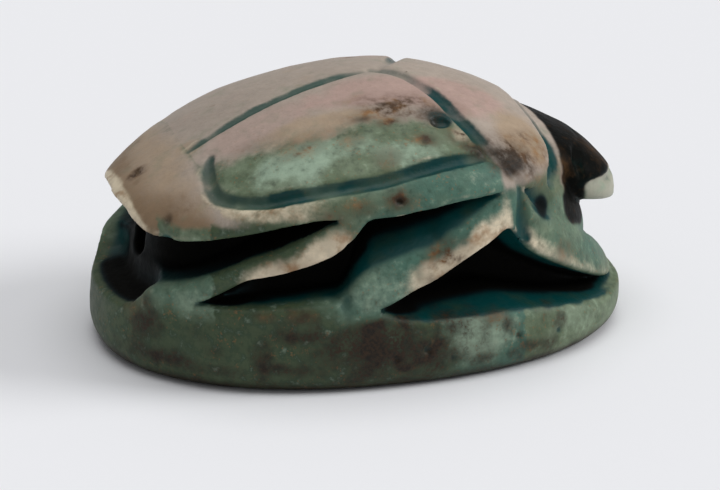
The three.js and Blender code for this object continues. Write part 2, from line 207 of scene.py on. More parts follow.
def tube(x, y, z, P, R):
    """distance to a poly-line with a radius at each point, nearest first"""
    P = np.asarray(P, F); R = np.broadcast_to(np.asarray(R, F), (len(P),))
    lo, hi = P.min(0) - 1.0, P.max(0) + 1.0
    out = np.full(x.shape, 1.0, F)
    m = (x > lo[0]) & (x < hi[0]) & (y > lo[1]) & (y < hi[1]) & (z > lo[2]) & (z < hi[2])
    if not m.any(): return out
    X, Y, Z = x[m], y[m], z[m]
    best = np.full(X.shape, 9.0, F)
    for a, b, ra, rb in zip(P[:-1], P[1:], R[:-1], R[1:]):
        v = b - a; L = float(v @ v) + 1e-12
        t = np.clip(((X - a[0]) * v[0] + (Y - a[1]) * v[1] + (Z - a[2]) * v[2]) / L, 0, 1)
        dx, dy, dz = X - a[0] - t * v[0], Y - a[1] - t * v[1], Z - a[2] - t * v[2]
        best = np.minimum(best, np.sqrt(dx * dx + dy * dy + dz * dz) - (ra + (rb - ra) * t))
    out[m] = best
    return out

def taper(n, r, tip=0.3, k=3):
    R = np.full(n, r); 
    for i in range(k): R[i] *= tip + (1 - tip) * i / k; R[-1 - i] *= tip + (1 - tip) * i / k
    return R

LINES = []


def line(pts, r, lift, tips=True, k=3):
    P = on_back(pts, 1, lift)
    LINES.append((P, taper(len(P), r, .5, k) if tips else np.full(len(P), r)))


line(SEAM, .25, .1); line(COLLAR, .29, .11, False); line(COLLAR_F, .28, .11, False)
LINES[2][1][:6] = np.linspace(.12, .27, 6)
line(RIM, .25, .06, k=4); line(RIM_F, .25, .06, k=4)
NECK3 = on_back(NECK, 1, .12)
NECK_R = .31 - .09 * np.exp(-(NECK3[:, 1] / 1.2) ** 2)
# lines on the flanks, near side; mirrored for the far side
FLANK_LINES = [
    # between the middle leg and the fore leg
    (np.array([(3.5, -5.0, 7.22), (3.85, -5.3, 6.95), (4.15, -5.46, 6.6), (4.3, -5.5, 6.18), (4.3, -5.6, 5.78), (4.28, -5.72, 5.37), (4.3, -5.8, 4.95), (4.35, -5.85, 4.6)]), np.array([.16, .18, .2, .22, .25, .3, .34, .36])),
    # over the top of the fore leg
    (np.array([(4.4, -5.42, 6.1), (4.75, -5.3, 5.65), (5.1, -5.2, 5.3), (5.5, -5.05, 5.02)]), np.array([.12, .17, .22, .25])),
    (np.array([(-5.66, -5.27, 4.6), (-5.5, -5.42, 4.2), (-5.38, -5.52, 3.8)]), np.array([.02, .09, .02])),      # knee of the hind leg
    (np.array([(-6.98, -4.45, 4.0), (-6.94, -4.62, 3.6), (-6.9, -4.72, 3.2)]), np.array([.02, .09, .02])),      # its ankle
    (np.array([(-2.15, -6.4, 3.3), (-2.2, -6.6, 2.8), (-2.18, -6.66, 2.4), (-2.1, -6.76, 1.85)]), np.array([.2, .18, .15, .08])),   # behind the middle foot
    (np.array([(-7.95, -3.2, 5.75), (-7.85, -3.45, 5.35), (-7.72, -3.7, 4.9), (-7.6, -3.9, 4.5)]), np.array([.08, .22, .32, .4])),   # notch in the tail rim
]
# small pits: place, radius
PITS = [((-7.74, 0.0, 6.08), .2), ((1.86, -3.66, 8.28), .3), ((2.05, -3.62, 8.2), .22), ((-7.45, -3.45, 5.62), .12), ((1.05, -4.62, 7.86), .1), ((.1, -3.6, 8.34), .1),
        ((-2.99, -3.75, 7.79), .07), ((-4.73, -2.55, 7.5), .07), ((-.25, -6.1, 6.42), .1), ((2.75, -4.5, 7.66), .12), ((-6.36, -5.35, 1.34), .12), ((-8.2, -3.62, 2.12), .16),
        ((5.6, -5.72, 1.05), .14), ((3.97, -6.3, 1.28), .14), ((.6, -6.8, 1.3), .16), ((-.5, -6.8, 1.1), .14), ((-1.0, -6.85, 1.9), .12), ((1.5, -6.75, .9), .12)]

def neck(x, y):
    """the block under the head, in plan"""
    return superdist(x, y, 3.9, 3.95, 3.95, 5.0, 2.2, 2.2)


# head
def head_half(x):
    u = np.clip((x - 6.4) / (9.16 - 6.4), 0, 1)
    return (3.05 * (1 - u ** 2.5) ** (1 / 2.1)).astype(F)
HEAD_TOP = [(5.0, 7.0), (6.0, 6.98), (6.6, 6.78), (7.2, 6.48), (7.8, 6.14), (8.3, 5.8), (8.7, 5.4), (9.0, 4.95), (9.2, 4.6)]
HEAD_BOT = [(5.0, 4.4), (6.2, 4.2), (7.0, 4.0), (7.6, 3.9), (8.2, 3.85), (8.7, 3.85), (9.2, 3.95)]
def head(x, y, z):
    hw = head_half(x)
    dy = (np.abs(y) - hw) * 0.8
    top = tabs(x, HEAD_TOP, 1, .25) - 0.05 * y * y
    bot = tabs(x, HEAD_BOT, 1, .25) + 0.09 * y * y
    d = smax(smax((z - top) * 0.85, dy, 0.7), bot - z, 0.3)
    d = smax(d, x - 9.14, 0.35)
    return np.maximum(d, 5.0 - x).astype(F)

def whole(x, y, z):
    """the form before anything is cut into it"""
    b0 = back(x, y)
    return np.minimum(smax(wall(x, y, z), (z - b0) * F(0.8), 0.1), head(x, y, z))


# the head's own lines, mirrored: the front plate's upper edge, and the cheek
HEAD_LINES = [
    (np.array([(9.2, 0.0, 4.98), (9.05, -0.9, 4.98), (8.78, -1.6, 5.0), (8.42, -2.2, 5.06), (8.0, -2.66, 5.14), (7.5, -2.98, 5.2)]), np.array([.1, .12, .13, .13, .11, .06])),
    (np.array([(7.2, -3.1, 5.3), (7.1, -2.7, 5.95), (7.25, -2.1, 6.3), (7.6, -1.5, 6.3), (7.85, -0.8, 6.2), (7.95, 0.0, 6.16)]), np.array([.08, .12, .14, .14, .12, .12])),
]


def sdf(x, y, z, fine=True):
    x = x.astype(F); y = y.astype(F); z = z.astype(F)
    W = wall(x, y, z)
    b0 = back(x, y); e = F(0.04)
    gx = (back(x + e, y) - back(x - e, y)) / (2 * e); gy = (back(x, y + e) - back(x, y - e)) / (2 * e)
    T = (z - b0) / np.sqrt(1 + gx * gx + gy * gy)
    d = smax(W, T, 0.1)
    px = table_x(x, y)
    inw = -W
    d = smax(d, -gap(px, z, inw, GAP_WING), .2)
    d = smax(d, -gap(px, z, inw, GAP_TAIL), .14)
    d = smax(d, -gap(px, z, inw, GAP_HIND), .22)
    d = smax(d, -gap(px, z, inw, GAP_MID), .22)
    d = smax(d, -gap(px, z, inw, GAP_FORE), .24)
    d = smax(d, -gap(px, z, inw, GAP_CHEEK, k=.15, reach=-neck(x, y)), .24)
    # the head comes out from under the collar
    ay = np.abs(y)
    nx_ = np.interp(ay, [0, .8, 1.8, 2.5, 3.15, 3.85, 4.4], [5.98, 6.02, 6.14, 6.28, 6.34, 6.15, 5.8]).astype(F)
    ht = tabs(x, HEAD_TOP, 1, .25) - 0.05 * y * y - 0.12
    d = smax(d, -smax(nx_ - x, ht - z, .2), .16)
    d = smin(d, head(x, y, z), 0.18)
    # incised lines
    for P, R in LINES:
        d = smax(d, -tube(x, y, z, P, R), .11)
    d = smax(d, -tube(x, y, z, NECK3, NECK_R), .14)
    for P, r in HEAD_LINES:
        d = smax(d, -tube(x, -ay, z, P, r), .1)
    ya = -np.abs(y)
    for P, r in FLANK_LINES:
        d = smax(d, -tube(x, ya, z, P, r), .12)
    for c, r in PITS:
        m = (np.abs(x - c[0]) < 1) & (np.abs(y - c[1]) < 1) & (np.abs(z - c[2]) < 1)
        if m.any():
            q = np.sqrt((x[m] - c[0]) ** 2 + (y[m] - c[1]) ** 2 + (z[m] - c[2]) ** 2) - r
            d[m] = smax(d[m], -q, .08)
    # string hole
    t = (x + 9) / 18
    zc = 3.9 + (3.3 - 3.9) * t
    d = smax(d, -(np.sqrt(y * y + (z - zc) ** 2) - 0.65), .1)
    # hand finish and wear
    d = d + 0.028 + 0.022 * vnoise(x, y, z, 1.7, 3) + 0.008 * vnoise(x, y, z, .55, 5)
    d = smax(d, -z, .06)
    return d.astype(F)

# ------------------------------------------------------------------ meshing
def build(h=0.1):
    lo = np.array([-9.6, -7.1, -0.3]); hi = np.array([9.6, 7.1, 9.3])
    n = np.ceil((hi - lo) / h).astype(int) + 1
    B = 8
    nb = (n + B - 1) // B
    n = nb * B
    xs = (lo[0] + h * np.arange(n[0])).astype(F); ys = (lo[1] + h * np.arange(n[1])).astype(F); zs = (lo[2] + h * np.arange(n[2])).astype(F)
    # coarse pass at block centres
    c = [a[:len(a) // B * B].reshape(-1, B).mean(1) for a in (xs, ys, zs)]
    CX, CY, CZ = np.meshgrid(*c, indexing='ij')
    dc = sdf(CX.ravel(), CY.ravel(), CZ.ravel()).reshape(CX.shape)
    rad = h * B * 0.5 * 1.7321 * 1.5 + 0.25
    act = np.abs(dc) < rad
    V = np.repeat(np.repeat(np.repeat(dc, B, 0), B, 1), B, 2).astype(F)
    ii = np.argwhere(act)
    o = np.arange(B)
    chunk = 400
    for s in range(0, len(ii), chunk):
        k = ii[s:s + chunk]
        X = xs[(k[:, 0, None] * B + o)][:, :, None, None]; Y = ys[(k[:, 1, None] * B + o)][:, None, :, None]; Z = zs[(k[:, 2, None] * B + o)][:, None, None, :]
        X, Y, Z = np.broadcast_arrays(X, Y, Z)
        v = sdf(X.ravel(), Y.ravel(), Z.ravel()).reshape(len(k), B, B, B)
        for q, (a, b, c_) in enumerate(k):
            V[a * B:a * B + B, b * B:b * B + B, c_ * B:c_ * B + B] = v[q]
    ins = V < 0
    # cells
    cnt = np.zeros(np.array(V.shape) - 1, np.int8)
    for a in (0, 1):
        for b in (0, 1):
            for c_ in (0, 1):
                cnt += ins[a:ins.shape[0] - 1 + a, b:ins.shape[1] - 1 + b, c_:ins.shape[2] - 1 + c_]
    cell = (cnt > 0) & (cnt < 8)
    ids = -np.ones(cell.shape, np.int64); idx = np.argwhere(cell); ids[cell] = np.arange(len(idx))
    P = np.zeros((len(idx), 3)); N = np.zeros(len(idx))
    corners = [(a, b, c_) for a in (0, 1) for b in (0, 1) for c_ in (0, 1)]
    for ca in corners:
        for ax in range(3):
            if ca[ax]: continue
            cb = list(ca); cb[ax] = 1
            va = V[idx[:, 0] + ca[0], idx[:, 1] + ca[1], idx[:, 2] + ca[2]]; vb = V[idx[:, 0] + cb[0], idx[:, 1] + cb[1], idx[:, 2] + cb[2]]
            m = (va < 0) != (vb < 0)
            t = np.where(m, va / np.where(m, va - vb, 1), 0)
            p = np.array(ca, float)[None] + 0 * P; p[:, ax] += t
            P[m] += p[m]; N[m] += 1
    P = (idx + P / N[:, None]) * h + lo
    quads = []
    for ax in range(3):
        sl0 = [slice(1, -1)] * 3; sl0[ax] = slice(0, -1)
        s1 = [slice(1, -1)] * 3; s1[ax] = slice(1, None)
        A = ins[tuple(sl0)]; Bm = ins[tuple(s1)]
        e = np.argwhere(A != Bm); flip = A[tuple(e.T)]
        e = e + 1; e[:, ax] -= 1
        u, v = (ax + 1) % 3, (ax + 2) % 3
        def cid(du, dv):
            q = e.copy(); q[:, u] -= du; q[:, v] -= dv
            return ids[q[:, 0], q[:, 1], q[:, 2]]
        Q = np.stack([cid(1, 1), cid(0, 1), cid(0, 0), cid(1, 0)], 1)
        Q[~flip] = Q[~flip][:, ::-1]
        quads.append(Q)
    Q = np.concatenate(quads)
    return P, Q, (V, lo, h)

def grad(P, e=0.02):
    x, y, z = P.T
    g = [sdf(x + e, y, z) - sdf(x - e, y, z), sdf(x, y + e, z) - sdf(x, y - e, z), sdf(x, y, z + e) - sdf(x, y, z - e)]
    return np.stack(g, 1) / (2 * e)

def relax(P, Q, it=2, lam=0.5):
    n = len(P)
    e = np.concatenate([Q[:, [0, 1]], Q[:, [1, 2]], Q[:, [2, 3]], Q[:, [3, 0]]])
    cnt = np.bincount(e[:, 0], minlength=n).astype(float)
    for _ in range(it):
        S_ = np.stack([np.bincount(e[:, 0], weights=P[e[:, 1], k], minlength=n) for k in range(3)], 1)
        P = P + lam * (S_ / np.maximum(cnt, 1)[:, None] - P)
    return P


def project(P, it=2, h=0.1):
    for _ in range(it):
        d = sdf(*P.T); g = grad(P)
        n2 = (g * g).sum(1) + 0.05
        step = (d / n2)[:, None] * g
        l = np.sqrt((step ** 2).sum(1)) + 1e-9
        step *= np.minimum(1, 0.5 * h / l)[:, None]
        P = P - step
    return P


# ------------------------------------------------------------------ masks kept on the vertices
def masks(P, N):
    x, y, z = [c.astype(F) for c in P.T]
    nx, ny, nz = [c.astype(F) for c in N.T]

    def out(t):
        return np.clip(1 - sdf(x + nx * t, y + ny * t, z + nz * t) / t, 0, 1)

    def inner(t):
        return np.clip(1 + sdf(x - nx * t, y - ny * t, z - nz * t) / t, 0, 1)

    m = {}
    # cavity and hollow: how closed in each point is, at a small and a large scale; below they drive the painted shade
    m["cavity"] = np.clip(0.6 * out(0.12) + 0.5 * out(0.25), 0, 1)
    m["hollow"] = np.clip(0.35 * out(0.5) + 0.35 * out(1.0) + 0.4 * out(2.0), 0, 1)
    m["ridge"] = np.clip(0.5 * inner(0.15) + 0.6 * inner(0.35), 0, 1)
    m["depth"] = np.clip(-whole(x, y, z) - 0.03, 0, 3)
    return m


def spot(x, y, z, c, r, n=0.0, soft=0.5):
    """1 inside a soft spot about c, r mm wide each way (one number or three), its edge moved by n"""
    r = np.broadcast_to(np.asarray(r, F), (3,))
    q = np.sqrt(((x - c[0]) / r[0]) ** 2 + ((y - c[1]) / r[1]) ** 2 + ((z - c[2]) / r[2]) ** 2) + n
    return sstep(1 + soft, 1 - soft, q)


def paint(P, N, m):
    """where the glaze is kept, worn off, pooled or dirty, and where shade is painted in, 0 to 1"""
    x, y, z = [c.astype(F) for c in P.T]
    nx, ny, nz = [c.astype(F) for c in N.T]
    ay = np.abs(y)
    n0 = fbm(x, y, z, 4.5, 51, 2); n1 = fbm(x, y, z, 2.4, 11, 3); n2 = fbm(x, y, z, 1.1, 23, 3); n3 = fbm(x, y, z, .42, 37, 2)
    b = back(x, y); dep = m["depth"]; hol = m["hollow"]; r = m["ridge"]
    a = {}
    up = sstep(.3, .55, b - z)                                      # below the back's surface
    on = (1 - up) * sstep(.5, .25, dep)                             # on the back itself
    px = table_x(x, y)
    rim = np.interp(x, [-6.1, -5.9, -5.3, -4.4, -2.5, .35, 2.2, 3.45], [0, 4.0, 4.7, 5.27, 5.64, 5.58, 5.24, 4.95]).astype(F)
    outer = sstep(-.1, .15, ay - rim) * (x > -6.3) * (x < 4.2)      # the rim outside the long groove
    # the incised lines: how far inside each one's own width
    ln = np.full(x.shape, 1.0, F); thin = np.full(x.shape, 1.0, F)
    for k, (Pl, Rl) in enumerate(LINES):
        t = tube(x, y, z, Pl, Rl)
        ln = np.minimum(ln, t)
        if k < 3: thin = np.minimum(thin, t)
    ln = np.minimum(ln, tube(x, y, z, NECK3, NECK_R)); ya = -ay
    fl = np.full(x.shape, 1.0, F)
    for k in (0, 1, 4, 5): fl = np.minimum(fl, tube(x, ya, z, *FLANK_LINES[k]) + (.03 if k > 1 else 0))
    for Pl, Rl in HEAD_LINES: fl = np.minimum(fl, tube(x, ya, z, Pl, Rl) + .05)
    # -------- worn to the body: the crest of the back, the collar, the tail
    lim = np.where(y > 0, 4.7, 3.35 + .16 * np.minimum(x + 1, 0))
    crest = sstep(.7, -.7, ay - lim + .6 * n1 + .5 * n2 + .2 * n3)
    incollar = sstep(-.15, .15, x - np.interp(ay, [0, .65, 1.37, 2.2, 3.2, 3.85, 5.0], [1.0, 1.75, 2.06, 2.36, 2.58, 2.9, 3.5]).astype(F))
    tail = sstep(-5.4, -6.5, x - .12 * (ay - 3) ** 2 * (ay > 3) + .3 * n2)
    lowz = sstep(5.75, 5.35, z + .25 * n2)                          # green again under the tail's edge
    w = np.maximum(crest * (1 - outer), incollar * sstep(5.95, 6.5, z + .3 * n2))
    w = np.maximum(w, tail * (1 - lowz * (x > -7.75)))
    edge = sstep(.0, .15, ay - rim) * sstep(1.0, .45, ay - rim + .35 * n2 + .1 * (x + 5)) * sstep(-1.9, -4.2, x + .5 * n2) * sstep(2.8, 3.6, ay) * sstep(-6.6, -6.0, x) * sstep(5.75, 6.1, z) * on      # cream band below the groove toward the tail
    w = np.maximum(w * (1 - outer * sstep(5.9, 5.5, z + .15 * n2)), .3 * edge)
    w = np.maximum(w, .22 * outer * sstep(.0, .6, n2))
    a["worn"] = np.clip(w, 0, 1) * on
    a["pink"] = np.clip(spot(x, y, z, (.4, -1.5, 8.8), (2.3, 1.2, 1.5), .3 * n2) + spot(x, y, z, (3.4, -1.8, 8.2), (1.5, 1.4, 1.5), .3 * n2)
                        + .6 * spot(x, y, z, (-4.0, -1.6, 8), (2.3, 1.0, 2), .4 * n2) + .5 * sstep(0, .6, n1) * (y > 0), 0, 1)
    a["tan"] = np.clip(sstep(-5.4, -6.8, x + .7 * n1) * .8 + sstep(.1, .7, n2) * .4 + .8 * edge + spot(x, y, z, (4.9, -3.3, 7.4), (1.1, 1.3, 1.2), .4 * n2)
                       + .8 * spot(x, y, z, (-2.2, -2.9, 8.1), (2.6, .8, 1.0), .5 * n2), 0, 1)
    a["umber"] = np.clip(sstep(6.6, 5.5, z + .25 * n2) * sstep(-5.6, -6.6, x) * on + .3 * sstep(.2, .8, n3) * on, 0, 1)
    # -------- glaze: paler mint, sea green, dark olive
    a["mint"] = np.clip(.65 * spot(x, y, z, (.7, -4.9, 7.7), (1.1, .6, .8), .4 * n2) + .6 * spot(x, y, z, (-2.2, -4.3, 7.8), (2.0, .6, .9), .4 * n2)
                        + .95 * spot(x, y, z, (2.2, -6.6, 1.45), (1.3, 1.0, .8), .5 * n2, .7) + .35 * spot(x, y, z, (6.3, -5.0, 1.3), (1.6, 1.2, .8), .5 * n2, .7)
                        + .9 * spot(x, y, z, (-3.6, -4.4, 7.4), (1.1, .8, .9), .5 * n2, .7) + .5 * spot(x, y, z, (-.9, -6.2, 3.6), (1.0, .8, .8), .5 * n2, .7)
                        + .45 * spot(x, y, z, (-7.0, -4.9, 2.9), (1.2, 1.2, .6), .3 * n2) + .25 * sstep(.1, .6, n1), 0, 1)
    a["sea"] = np.clip(outer * sstep(-3.5, .5, x + .9 * n1) * .8 + up * sstep(1.2, 3.2, z) * .45 + (n0 + .6 * n1) * .5, 0, 1)
    a["low"] = np.clip(sstep(3.2, 2.0, z + .4 * n1) * .9 * sstep(1.6, .2, x + .9 * n1) + up * .15 + outer * sstep(6.1, 5.7, z + .2 * n2) * sstep(-2, -4, x) * .9, 0, 1)
    # -------- worn edges of the legs
    cf, fm_, ch, fw = tabs(px, GAP_FORE, 2), tabs(px, GAP_MID, 1), tabs(px, GAP_HIND, 2), tabs(px, GAP_WING, 1)
    face = sstep(.35, .1, dep) * sstep(.15, .4, b - z)
    uh = (z - ch) / np.maximum(fw - ch, .2); um = (z - cf) / np.maximum(fm_ - cf, .3); tf = z - cf
    hind = sstep(-6.0, -5.0, px + .5 * n2) * sstep(-1.8, -2.3, px) * sstep(1.1, .25, uh + .3 * n2 + .15 * n3) * sstep(-.4, -.1, uh)
    mid = sstep(-.5, .6, px + .6 * n2) * sstep(4.25, 4.0, px) * sstep(1.05, .3, um + .45 * n2 + .2 * n3) * sstep(-.3, -.05, um)
    fore = sstep(4.45, 4.75, px) * sstep(9.2, 8.6, px) * sstep(-.1, .25, tf) * sstep(1.25, .45, tf + .25 * n2 + .16 * (px - 4.5)) * np.interp(px, [4.4, 6.2, 8.8], [.75, .5, .35]).astype(F)
    top = .55 * sstep(.35, .85, r + .25 * n2 + .12 * n1) * sstep(1.6, 2.2, z)
    a["cream"] = np.clip(np.maximum(face * np.maximum(np.maximum(hind, mid), fore), top) + .3 * sstep(.5, .8, r + .2 * n2), 0, 1) * sstep(6.9, 6.3, z)
    a["cream"] = np.maximum(a["cream"], .5 * sstep(.3, .1, ln) * sstep(.05, .12, ln) * sstep(.1, .6, n2 + .4 * n1) * on)
    a["cream"] = np.maximum(a["cream"], .6 * edge)
    a["cream"] = np.maximum(a["cream"], .7 * spot(x, y, z, (2.5, -4.15, 7.85), (.35, .3, .4), .5 * n3, .6))
    # -------- pooled glaze in the lines and gaps, with painted shade darkening the hollows and deep recesses
    dn = dep + .05 * n3 + .04 * n2
    # painted shade: the hind leg's ledge under the wing case goes darker inward
    slow = sstep(-1.6, -2.6, px) * sstep(fw + .6, fw + .1, z)           # the hind leg's ledge darkens slowly inward
    ff_ = sstep(-1.0, -.5, px) * sstep(cf - .3, cf - .6, z)
    # darker deeper in the gaps: pooled glaze together with painted shade
    cut = (slow * sstep(.12, .9, dn) + (1 - slow) * ((1 - ff_) * sstep(.04, .42, dn) + ff_ * sstep(.02, .16, dn))) * (on < .5)
    stain = .3 * sstep(.5, .0, np.minimum(ln, fl)) * sstep(-.4, .5, n2)
    core = sstep(.0, .1, b - z + .015 * n3)
    line = np.maximum(sstep(.08, .01, ln) * (.2 + .8 * core), sstep(.07, -.0, fl + .02 * n3)) * (.72 + .28 * sstep(-.4, .3, n2 + .3 * n3))
    line *= 1 - .3 * sstep(-4.9, -5.8, x) - .35 * sstep(1.5, 3.0, x) * sstep(2.5, 1.0, ay)
    pit = spot(x, y, z, (1.95, -3.45, 8.15), (.42, .36, .5), .3 * n2, .5)
    # the small-cavity term here is painted shade; the incised lines' teal is pooled glaze
    a["pool_and_shade"] = np.clip(np.maximum(np.maximum(line, .9 * pit), cut) + .5 * sstep(.35, .8, m["cavity"]) + stain, 0, 1)
    a["grey"] = np.clip(.7 * sstep(-4.7, -5.7, x) * (ln < .2) + sstep(.3, .1, thin) * sstep(2.0, .6, x + .5 * ay * (x > 1)) * .8, 0, 1)      # thinner glaze in the middle lines
    # painted shade: deep in the gaps, under the wing case and in closed-in hollows the colour goes to dark teal and
    # then to the darkest colour
    wing = sstep(-.3, .2, z - tabs(px, GAP_WING, 1)) * (px < -2.3)
    a["recess_shade"] = np.clip(sstep(.5, 1.3, dep + .2 * n2 + .6 * (hol - .55)) + .9 * wing * sstep(.25, .6, dep + .1 * n2) + sstep(.7, 1.05, hol + .1 * n2) * sstep(.2, .5, dep), 0, 1)
    a["recess_shade"] *= 1 - .7 * sstep(.95, .45, hol) * sstep(1.5, .9, dep)
    # painted shade on the floor of the recess between the hind feet
    floor_ = sstep(-7.2, -7.9, x + .3 * n2) * sstep(2.9, 2.3, ay + .3 * n2) * sstep(3.4, 3.0, z) * sstep(1.9, 2.1, z) * sstep(.1, .5, dep)
    a["recess_shade"] = np.maximum(a["recess_shade"], .9 * floor_ * sstep(2.3, 1.5, y))
    # a painted shadow in the notch at the root of the fore leg
    wedge = spot(x, -ay, z, (5.1, -4.85, 5.25), (.3, .45, .42), .25 * n2, .5)
    a["recess_shade"] = np.maximum(a["recess_shade"], .75 * wedge)
    # -------- head: dark above and down the neck; the front plate's edge pale
    front = sstep(7.55, 8.0, x + .3 * np.maximum(ay - 1.5, 0)) * sstep(5.3, 5.1, z + .06 * n3) * sstep(.35, .1, dep)
    crown_ = sstep(6.2, 6.6, x + .15 * n2 - .45 * np.maximum(ay - 3.1, 0)) * sstep(4.6, 4.9, z + .3 * (x - 7))
    nq = np.sqrt(((x - 7.1) / 1.5) ** 2 + ((ay - 2.8) / 1.65) ** 2 + ((z - 4.85) / 1.1) ** 2)
    neckd = sstep(1.15, .8, nq + .15 * n2)
    chin = sstep(.12, .35, dep) * (x > 5.9) * sstep(3.3, 3.8, z + .2 * n2)
    a["head"] = np.clip(np.maximum(np.maximum(crown_, neckd), chin), 0, 1) * (1 - front) * (1 - on * sstep(6.6, 6.1, x))
    a["low"] = np.maximum(a["low"], .7 * spot(x, -ay, z, (5.5, -4.75, 5.6), (.6, .5, .5), .3 * n2, .6))
    a["plate"] = np.clip(front * sstep(3.95, 4.3, z + .12 * n2) * (.35 + .65 * sstep(.8, 1.9, ay + .4 * n2)), 0, 1)
    # -------- dirt, brown; dirt spots darker still; painted shade along the bottom edge
    a["dirt"] = np.zeros_like(x); a["grime_and_shade"] = np.zeros_like(x)
    patch = sstep(-.6, .5, n3 * 1.0 + n2 * .8)
    D = [((1.35, -6.35, 4.25), (.7, .5, .5), .8, .6), ((.45, -2.75, 8.55), (1.6, .75, .7), 1.0, 1.), ((.35, -2.5, 8.62), (.6, .25, .4), 1.0, .6), ((.1, -3.5, 8.35), (.45, .3, .35), 1.0, .5), ((1.1, -4.5, 7.92), (.5, .35, .4), 1.0, .5),
         ((1.5, -3.2, 8.35), (.6, .5, .5), .7, .6), ((2.6, -4.2, 7.8), (.7, .5, .6), .9, .6), ((-1.35, -4.05, 8.0), (.45, .3, .4), .6, .6), ((-3.0, -3.85, 7.75), (.7, .3, .4), .75, .8),
         ((-4.4, -2.6, 7.6), (.9, .3, .4), .35, .8), ((-2.5, -3.4, 8.0), (1.0, .3, .4), .5, .8), ((-.3, -5.0, 7.6), (.4, .3, .4), .75, .5), ((4.4, -4.5, 7.0), (1.0, .8, .8), 1.0, .6), ((3.3, -4.5, 7.5), (.5, .4, .5), .9, .5), ((6.2, -3.3, 6.2), (.5, .7, .6), .7, .6),
         ((5.3, -3.6, 7.1), (.6, .7, .7), .85, .8), ((-7.74, 0, 6.05), (.36, .36, .4), 1.0, .3), ((-.3, -6.1, 6.45), (.4, .35, .3), 1.0, .4), ((-1.6, -6.15, 6.3), (.5, .3, .25), .8, .6),
         ((-2.5, -6.1, 6.05), (.5, .3, .3), .7, .6), ((1.15, -6.45, 4.6), (.55, .5, .6), 1.0, .6), ((.75, -6.5, 4.1), (.35, .4, .4), .9, .5), ((2.0, -6.3, 4.75), (.4, .4, .3), .6, .6), ((-4.2, -6.0, 4.5), (.9, .3, .25), .5, .7),
         ((-2.2, -6.3, 5.6), (.8, .5, .5), .3, .8), ((6.0, -4.9, 3.6), (.5, .4, .35), .8, .5), ((-3.6, -6.4, 2.75), (.5, .3, .22), .9, .4), ((-4.9, -6.0, 2.75), (.35, .3, .2), .7, .4),
         ((3.0, -6.3, 2.15), (.35, .3, .2), .9, .4), ((-8.4, -2.6, 3.0), (.6, .7, .7), .6, .8), ((8.3, -1.2, 5.7), (.6, .6, .5), .5, .6), ((-6.9, -3.6, 5.9), (.8, .5, .35), .4, .8), ((4.9, -5.2, 6.1), (.5, .5, .4), .5, .6)]
    for c, rr, k, so in D:
        a["dirt"] = np.maximum(a["dirt"], k * spot(x, y, z, c, rr, .9 * n2 + .6 * n3, min(.95, so + .3)))
    a["dirt"] *= .45 + .55 * patch
    K = [((-1.3, -6.8, 1.4), (1.7, .9, .8), 1.0, .6), ((1.75, -3.35, 8.2), (.4, .3, .5), .6, .4), ((.35, -2.5, 8.65), (.45, .13, .3), .7, .6), ((-.65, -3.15, 8.4), (.35, .22, .3), .7, .6), ((1.15, -4.5, 7.92), (.25, .22, .25), .8, .5),
         ((-.9, -6.8, 1.4), (2.6, .9, 1.1), 1.0, .8), ((1.1, -6.7, .9), (1.5, .9, .6), .75, .8), ((-4.0, -6.3, .9), (.9, .8, .25), .9, .7), ((-4.9, -6.0, 1.1), (.35, .8, .7), .85, .6),
         ((-3.6, -6.4, 2.0), (1.1, .6, .25), .85, .6), ((-8.2, -3.6, 2.1), (.4, .5, .55), .95, .5), ((4.6, -6.2, .8), (1.3, .7, .3), .75, .7), ((5.5, -5.7, 1.3), (.35, .4, .4), .6, .5),
         ((-8.1, -3.7, .9), (1.6, .9, .3), .8, .7), ((-6.3, -5.3, 1.4), (.4, .4, .35), .6, .6), ((4.1, -4.9, 7.0), (.5, .5, .5), .85, .5), ((-7.5, -3.45, 5.62), (.22, .2, .2), .7, .4),
         ((-.25, -6.12, 6.42), (.2, .2, .18), .9, .3), ((-6.9, -4.9, 1.9), (.3, .3, .25), .6, .5), ((2.9, -4.75, 7.5), (.5, .35, .4), .7, .6), ((-6.2, -5.5, .75), (1.2, .6, .25), .6, .7)]
    for c, rr, k, so in K:
        a["grime_and_shade"] = np.maximum(a["grime_and_shade"], k * spot(x, y, z, c, rr, 1.2 * n2 + .6 * n3, min(.95, so + .3)))
    # painted shade: a thin dark line where the underside meets the ground; and noisy darker patches low on the wall
    a["grime_and_shade"] = np.maximum(a["grime_and_shade"], .75 * sstep(.6, .1, z + .2 * n2 + .15 * n1))
    a["grime_and_shade"] = np.maximum(a["grime_and_shade"], .6 * sstep(.38, .8, n2 + .4 * n1) * sstep(3, 1.5, z))
    # the sides that aren't seen carry the same kinds of marks, scattered
    far = sstep(-.5, .5, y)
    a["dirt"] = np.maximum(a["dirt"], .8 * far * sstep(.42, .75, n2 + .5 * n1) * (1 - .5 * up))
    a["grime_and_shade"] = np.maximum(a["grime_and_shade"], .8 * far * sstep(.5, .8, -n2 + .5 * n0) * sstep(3.2, 1.2, z))
    return a


